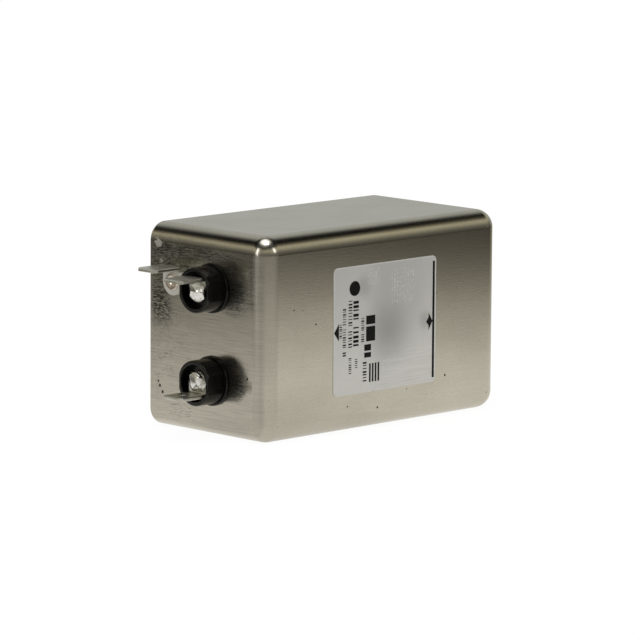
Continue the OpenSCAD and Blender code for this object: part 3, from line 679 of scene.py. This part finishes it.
def makeSolder(node, seed, finish):
    low, high = boxOf(node)
    middle = (low + high) / 2
    out = -1 if middle.x < 0 else 1
    up = 1 if middle.z > canHigh.z / 2 else -1  # the blade's side of the foot
    foot = low.x if out > 0 else high.x
    bm = bmesh.new()
    bmesh.ops.create_icosphere(bm, subdivisions=2, radius=1.0)
    dice = random.Random(seed)
    shift = Vector((dice.uniform(0, 40), dice.uniform(0, 40), dice.uniform(0, 40)))
    for v in bm.verts:  # a ball crushed into a few flat facets
        d = v.co.normalized()
        ridge = 1 - abs(noise.noise(d * 1.5 + shift)) * 2.0
        v.co = d * (0.72 + ridge * solderLook["fold"] + dice.uniform(-0.05, 0.05))
    bmesh.ops.bevel(bm, geom=bm.edges[:], offset=solderLook["facetEdge"], offset_type="OFFSET",
                    affect="EDGES", segments=3, profile=0.5, material=-1, clamp_overlap=True)
    bmesh.ops.scale(bm, vec=solderLook["size"], verts=bm.verts)
    cut = bmesh.ops.bisect_plane(bm, geom=bm.verts[:] + bm.edges[:] + bm.faces[:], plane_co=(0, 0, 0),
                                 plane_no=(-1, 0, 0), clear_outer=True)["geom_cut"]
    bmesh.ops.holes_fill(bm, edges=[e for e in cut if isinstance(e, bmesh.types.BMEdge)])
    bmesh.ops.scale(bm, vec=(out, 1, 1), verts=bm.verts)
    bmesh.ops.translate(bm, vec=(foot - out * 0.02, middle.y, middle.z - up * 0.25), verts=bm.verts)
    piece = keep(node.replace("solder_", "solderJoint_"), bm, finish, smooth=True)
    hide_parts(node)


solderMetal = makeSolderMetal()
for node, seed in solderLook["seeds"].items():
    makeSolder(node, seed, solderMetal)
print("solder made")


# parts sealed inside the can: finish, two tones, roughness, and the nodes that wear it
moulded = {
    "linerBoard": {"tones": ((0.50, 0.49, 0.44), (0.40, 0.39, 0.34)), "rough": 0.69, "grain": 0.6,
                   "depth": 0.02, "nodes": ["liner"]},
    "boardLaminate": {"tones": ((0.30, 0.17, 0.06), (0.24, 0.13, 0.045)), "rough": 0.39, "grain": 0.9,
                      "nodes": ["circuit_board"]},
    "spacerNylon": {"tones": ((0.62, 0.60, 0.54), (0.54, 0.52, 0.46)), "rough": 0.36,
                    "nodes": ["board_spacers"]},
    "coreFerrite": {"tones": ((0.045, 0.047, 0.048), (0.075, 0.075, 0.074)), "rough": 0.49, "grain": 1.4,
                    "nodes": ["choke_core"]},
    "dividerCard": {"tones": ((0.33, 0.10, 0.06), (0.27, 0.08, 0.05)), "rough": 0.54,
                    "nodes": ["choke_divider"]},
    "windingWire": {"tones": ((0.62, 0.25, 0.09), (0.50, 0.18, 0.06)), "rough": 0.18, "grain": 0.5,
                    "metallic": 1.0, "coat": 0.6, "depth": 0.002,
                    "nodes": ["choke_winding_line", "choke_winding_neutral"]},
    "filmCapacitorCase": {"tones": ((0.55, 0.44, 0.10), (0.48, 0.38, 0.08)), "rough": 0.32,
                          "nodes": ["x_capacitor_supply", "x_capacitor_load"]},
    "discCapacitorCoat": {"tones": ((0.035, 0.11, 0.26), (0.03, 0.085, 0.20)), "rough": 0.24,
                          "nodes": ["y_capacitor_line", "y_capacitor_neutral"]},
    "leadWire": {"tones": ((0.66, 0.66, 0.62), (0.52, 0.52, 0.47)), "rough": 0.24, "grain": 1.0,
                 "metallic": 1.0, "depth": 0.002,
                 "nodes": ["lead_load_line", "lead_load_neutral", "lead_supply_line",
                           "lead_supply_neutral"]},
}


def makeMoulded(name, tones, rough, nodes, grain=0.8, metallic=0.0, coat=0.0, depth=0.01):
    m = Finish(name, Metallic=metallic, Coat_Weight=coat)
    cloud = m.noise(grain, 3.0, 0.6)
    m.set(Base_Color=m.mix((cloud * 1.5 - 0.35).clamped(), *tones),
          Roughness=(rough + cloud * 0.12).clamped())
    m.bump(m.noise(grain * 5.0, 2.0, 0.5), depth)
    dress(m, *nodes)


for name, look in moulded.items():
    makeMoulded(name, **look)

groundWire = {"green": (0.03, 0.20, 0.045), "yellow": (0.62, 0.52, 0.03), "roughness": 0.42}


def makeGroundWire():
    m = Finish("groundWire", Roughness=groundWire["roughness"])
    stripe = m.drawn((0.25, 0.9, 0.9), detail=0.0).rise(0.49, 0.51)
    m.set(Base_Color=m.mix(stripe, groundWire["green"], groundWire["yellow"]))
    return m


resistor = {
    "body": (0.55, 0.46, 0.32),
    "bodyDark": (0.48, 0.40, 0.27),
    "roughness": 0.4,
    "bandHalf": 0.25,
    # colour bands, by their place along the body
    "bands": [(-2.0, (0.12, 0.05, 0.02)), (-1.0, (0.01, 0.01, 0.01)), (0.0, (0.05, 0.20, 0.06)),
              (1.9, (0.45, 0.33, 0.08))],
}


def makeResistorCoat():
    m = Finish("resistorCoat", Roughness=resistor["roughness"])
    low, high = boxOf("bleed_resistor")
    longest = max(range(3), key=lambda k: high[k] - low[k])
    along = m.axes(m.spot, "XYZ"[longest])[0] - (low[longest] + high[longest]) / 2
    half = resistor["bandHalf"]
    tone = m.mix(m.noise(0.8, 2.0, 0.5), resistor["body"], resistor["bodyDark"])
    for place, band in resistor["bands"]:
        tone = m.mix(along.inside(place - half, place + half, 0.04), tone, band)
    m.set(Base_Color=tone)
    return m


dress(makeGroundWire(), "ground_lead_load", "ground_lead_supply")
dress(makeResistorCoat(), "bleed_resistor")
print("inner finishes made")


studio = {
    "level": 0.80,  # light on the object
    "light": (1.0, 0.99, 0.97),
    "paper": (0.86, 0.86, 0.85),
    "shadow": 0.07,  # how much of the paper's own shading is seen
    "paperLight": 0.68,  # how bright the paper is far from the lamps
    "away": (0.702, 0.712),  # level direction that the camera looks in
    # the pool of light that the can reflects from the floor: in metres, its fading edge
    "poolEdge": (0.065, 0.345),
    "poolBright": 0.80,
    "poolDark": 0.050,
    "poolNear": (1.0, 0.98, 0.925),
    "poolFar": (1.0, 0.935, 0.80),
    "frontPull": 0.22,  # towards the camera the pool is wider
    "frontDim": 0.10,  # and dimmer close to the can
    "backGlow": 0.34,  # away from the camera it is brighter
    # the room as metal reflects it, from below to above
    "room": [
        (0.00, (0.30, 0.29, 0.27)), (0.500, (0.11, 0.105, 0.09)), (0.560, (0.16, 0.155, 0.13)),
        (0.610, (0.24, 0.23, 0.19)), (0.665, (0.38, 0.36, 0.28)), (0.730, (0.54, 0.51, 0.39)),
        (0.765, (0.42, 0.39, 0.29)), (0.805, (0.12, 0.11, 0.08)), (0.840, (0.005, 0.005, 0.005)),
        (0.960, (0.005, 0.005, 0.005)), (0.988, (1.5, 1.5, 1.5)), (1.0, (2.0, 2.0, 2.0)),
    ],
    "backdrop": (0.47, 0.482, 0.46),
    # softboxes: azimuth, height in degrees, distance, width and length, power
    "lamps": {
        "overheadSoftbox": (-44.0, 78.0, 0.9, (0.22, 0.22), 1.6),
        "leftSoftbox": (-100.0, 18.0, 0.9, (0.10, 0.50), 0.9),
        "rightSoftbox": (12.0, 26.0, 0.9, (0.10, 0.30), 0.5),
    },
}
white = (1.0, 1.0, 1.0)


def makeFloorPaper():
    material = bpy.data.materials.new("floorPaper")
    material.use_nodes = True
    shop = Shop(material.node_tree)
    camera, glossy, through = shop.rays("Is Camera Ray", "Is Glossy Ray", "Is Transmission Ray")
    spot = shop.node("ShaderNodeTexCoord", out=3)
    radius = shop.node("ShaderNodeVectorMath", {"operation": "LENGTH"}, {0: spot}, out=1)
    x, y = shop.axes(spot, "XY")
    facing = (x * studio["away"][0] + y * studio["away"][1]) / (radius + 0.001)
    front = facing.fall(-0.85, -0.35)
    back = facing.rise(0.35, 0.9)
    reach = radius * (1.0 - front * studio["frontPull"])
    pool = reach.ramp(*studio["poolEdge"], studio["poolBright"], studio["poolDark"])
    pool = pool * (1.0 - front * radius.fall(0.05, 0.12) * studio["frontDim"])
    pool = pool + back * (1.0 - pool) * radius.rise(0.10, 0.30) * studio["backGlow"]
    warm = shop.mix(reach.rise(0.10, 0.30), studio["poolNear"], studio["poolFar"])
    shadow = studio["shadow"]
    evened = (1.0 - shadow * studio["paperLight"]) / (1.0 - shadow)  # open floor comes out white
    paper = shop.node("ShaderNodeBsdfDiffuse", None, {"Color": studio["paper"]})
    plain = shop.node("ShaderNodeEmission", None, {"Color": white, "Strength": evened})
    glow = shop.node("ShaderNodeEmission", None, {"Color": warm, "Strength": pool})
    seen = shop.either(camera * (1 - shadow), paper, plain)
    full = shop.either((glossy + through).clamped(), seen, glow)
    shop.node("ShaderNodeOutputMaterial", None, {0: full})
    return material


def makeFloor():
    bm = bmesh.new()
    bmesh.ops.create_grid(bm, x_segments=2, y_segments=2, size=4.0)
    bmesh.ops.translate(bm, vec=(0, 0, -0.0001), verts=bm.verts)
    mesh = bpy.data.meshes.new("floor")
    bm.to_mesh(mesh)
    bm.free()
    mesh.materials.append(makeFloorPaper())
    floor = bpy.data.objects.new("floor", mesh)
    bpy.context.scene.collection.objects.link(floor)


def makeWorld():
    world = bpy.data.worlds.new("studio")
    bpy.context.scene.world = world
    world.use_nodes = True
    world.cycles.sampling_method = "NONE"
    shop = Shop(world.node_tree)
    camera, glossy = shop.rays("Is Camera Ray", "Is Glossy Ray")
    x, y, z = shop.axes(shop.node("ShaderNodeTexCoord", out=0))
    left = (y - x).rise(-0.3, 0.3)  # what the load side of the can sees
    room = shop.node("ShaderNodeValToRGB", {"stops": studio["room"]}, {0: z * 0.5 + left * 0.026 + 0.5})
    behind = (x * studio["away"][0] + y * studio["away"][1] + left * 0.08).rise(0.46, 0.84)
    room = shop.mix(behind * z.fall(0.74, 0.90), room, studio["backdrop"])
    plain = shop.node("ShaderNodeBackground", None, {"Color": studio["light"], "Strength": studio["level"]})
    seen = shop.node("ShaderNodeBackground", None, {"Color": room, "Strength": 1.0})
    blank = shop.node("ShaderNodeBackground", None, {"Color": white, "Strength": 1.0})
    full = shop.either(camera, shop.either(glossy, plain, seen), blank)
    shop.node("ShaderNodeOutputWorld", None, {0: full})


def directionOf(azimuth, height):  # from the middle of the object, in degrees
    a = math.radians(azimuth)
    e = math.radians(height)
    return Vector((math.sin(a) * math.cos(e), -math.cos(a) * math.cos(e), math.sin(e)))


shot = {
    "azimuth": -44.6,
    "elevation": 8.9504,
    "roll": 0.3902,
    "distance": 1.11587,
    "slide": (-0.0013548, -0.0009327),  # to the side and up
    "aim": 0.0235,  # height that the camera and the lamps look at
    "sensor": 36.0,
    "focal": 270.965,
}


def makeLamp(name, azimuth, height, distance, size, power):
    back = directionOf(azimuth, height)
    lamp = bpy.data.lights.new(name, "AREA")
    lamp.shape = "RECTANGLE"
    lamp.size, lamp.size_y = size
    lamp.energy = power
    holder = bpy.data.objects.new(name, lamp)
    holder.location = back * distance + Vector((0, 0, shot["aim"]))
    holder.rotation_mode = "QUATERNION"
    holder.rotation_quaternion = (-back).to_track_quat("-Z", "Y")
    holder.visible_camera = False
    bpy.context.scene.collection.objects.link(holder)


def makeCamera():
    back = directionOf(shot["azimuth"], shot["elevation"])
    right = Vector((0, 0, 1)).cross(back).normalized()
    up = back.cross(right)
    roll = math.radians(shot["roll"])
    side = right * math.cos(roll) + up * math.sin(roll)
    top = up * math.cos(roll) - right * math.sin(roll)
    view = bpy.data.cameras.new("camera")
    view.sensor_width = shot["sensor"]
    view.lens = shot["focal"]
    view.clip_start = 0.05
    view.clip_end = 50.0
    holder = bpy.data.objects.new("camera", view)
    across, upwards = shot["slide"]
    spot = back * shot["distance"] + side * across + top * upwards + Vector((0, 0, shot["aim"]))
    holder.matrix_world = Matrix.Translation(spot) @ Matrix((side, top, back)).transposed().to_4x4()
    bpy.context.scene.collection.objects.link(holder)
    bpy.context.scene.camera = holder


makeFloor()
makeWorld()
for name, lamp in studio["lamps"].items():
    makeLamp(name, *lamp)
makeCamera()
bpy.context.scene.view_settings.view_transform = "Standard"
print("stage made")

print("finished")
